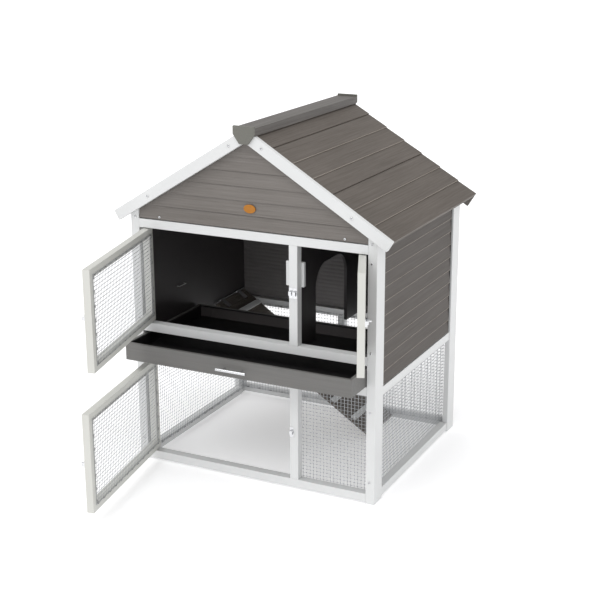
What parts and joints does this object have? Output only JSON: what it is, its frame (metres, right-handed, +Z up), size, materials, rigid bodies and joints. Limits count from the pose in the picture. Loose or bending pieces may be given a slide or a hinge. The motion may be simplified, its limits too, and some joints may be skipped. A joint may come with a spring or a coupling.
{
  "type": "rabbit hutch",
  "caption": "Two-storey gabled rabbit hutch with a wire run below, lined rooms above, a pull-out tray, mesh doors on sliding bolts and a ramp.",
  "frame": {"origin": "middle of the footprint of the four posts, on the ground", "axes": "+Z up, doors face -Y, nest room towards +X"},
  "size_m": [1.034, 1.3147, 1.2424],
  "materials": {
    "white_coated_wood": "smooth white coating over fir, with faint grain and softened edges",
    "taupe_board": "taupe grey wood-plastic lap board with a fine embossed grain",
    "dark_trim": "dark taupe moulded trim, satin",
    "black_lining": "near-black smooth sheet with a soft sheen",
    "galvanised_wire": "welded galvanised wire, dull silver",
    "bright_hardware": "bright plated steel",
    "badge_brass": "plain satin brass plate",
    "rung_wood": "off-white coated wood strip"
  },
  "bodies": {
    "hutch": {"post_front_left": "white_coated_wood", "post_front_right": "white_coated_wood", "post_rear_left": "white_coated_wood", "post_rear_right": "white_coated_wood", "front_bottom_rail": "white_coated_wood", "front_tray_rail": "white_coated_wood", "front_shelf_rail": "white_coated_wood", "front_top_rail": "white_coated_wood", "lower_mullion": "white_coated_wood", "upper_mullion": "white_coated_wood", "partition_cleat": "white_coated_wood", "side_bottom_rails": "white_coated_wood", "side_mid_rails": "white_coated_wood", "side_top_rails": "white_coated_wood", "rear_frame": "white_coated_wood", "wall_boards_left": "taupe_board", "wall_boards_right": "taupe_board", "wall_boards_rear": "taupe_board", "wall_linings": "black_lining", "gable_boards_front": "taupe_board", "gable_boards_rear": "taupe_board", "gable_rafters": "white_coated_wood", "roof_boards_left": "taupe_board", "roof_boards_right": "taupe_board", "bargeboards_front": "white_coated_wood", "bargeboards_rear": "taupe_board", "ridge_cap": "dark_trim", "ridge_end_plates": "dark_trim", "partition": "black_lining", "tray_runners": "white_coated_wood", "mesh_left": "galvanised_wire", "mesh_right": "galvanised_wire", "mesh_rear": "galvanised_wire", "mesh_front": "galvanised_wire", "pivot_pins": "bright_hardware", "latch_keepers": "bright_hardware", "frame_screws": "bright_hardware", "badge_plate": "badge_brass", "wall_loop": "bright_hardware", "ramp_rod": "bright_hardware"},
    "upper_left_door": {"upper_left_frame": "white_coated_wood", "upper_left_mesh": "galvanised_wire", "upper_left_latch": "bright_hardware"},
    "lower_left_door": {"lower_left_frame": "white_coated_wood", "lower_left_mesh": "galvanised_wire", "lower_left_latch": "bright_hardware"},
    "upper_right_door": {"upper_right_frame": "white_coated_wood", "upper_right_panel": "taupe_board", "upper_right_latch": "bright_hardware"},
    "upper_left_bolt": {"upper_left_bolt": "bright_hardware"},
    "lower_left_bolt": {"lower_left_bolt": "bright_hardware"},
    "upper_right_bolt": {"upper_right_bolt": "bright_hardware"},
    "tray": {"tray_front": "taupe_board", "tray_sides": "taupe_board", "tray_base": "taupe_board", "tray_pan": "black_lining", "tray_handle": "bright_hardware"},
    "ramp": {"ramp_board": "taupe_board", "ramp_rungs": "rung_wood", "ramp_straps": "bright_hardware"}
  },
  "joints": [
    {"name": "upper_left_door_hinge", "type": "hinge", "parent": "hutch", "child": "upper_left_door", "pos_m": [-0.404, -0.371, 0.6905], "axis": [0, 0, 1], "range_deg": [-43, 77]},
    {"name": "lower_left_door_hinge", "type": "hinge", "parent": "hutch", "child": "lower_left_door", "pos_m": [-0.404, -0.371, 0.2105], "axis": [0, 0, 1], "range_deg": [-40, 80]},
    {"name": "upper_right_door_hinge", "type": "hinge", "parent": "hutch", "child": "upper_right_door", "pos_m": [0.404, -0.371, 0.6905], "axis": [0, 0, 1], "range_deg": [-113, 7]},
    {"name": "upper_left_bolt_slide", "type": "slide", "parent": "upper_left_door", "child": "upper_left_bolt", "axis": [0.225, -0.9744, 0], "range_m": [0, 0.012]},
    {"name": "lower_left_bolt_slide", "type": "slide", "parent": "lower_left_door", "child": "lower_left_bolt", "axis": [0.1736, -0.9848, 0], "range_m": [0, 0.012]},
    {"name": "upper_right_bolt_slide", "type": "slide", "parent": "upper_right_door", "child": "upper_right_bolt", "axis": [0.3907, -0.9205, 0], "range_m": [0, 0.012]},
    {"name": "tray_slide", "type": "slide", "parent": "hutch", "child": "tray", "axis": [0, 1, 0], "range_m": [-0.25, 0.112]},
    {"name": "ramp_hinge", "type": "hinge", "parent": "hutch", "child": "ramp", "pos_m": [-0.4295, 0.2305, 0.447], "axis": [0, 1, 0], "range_deg": [-33.41, 0]}
  ]
}
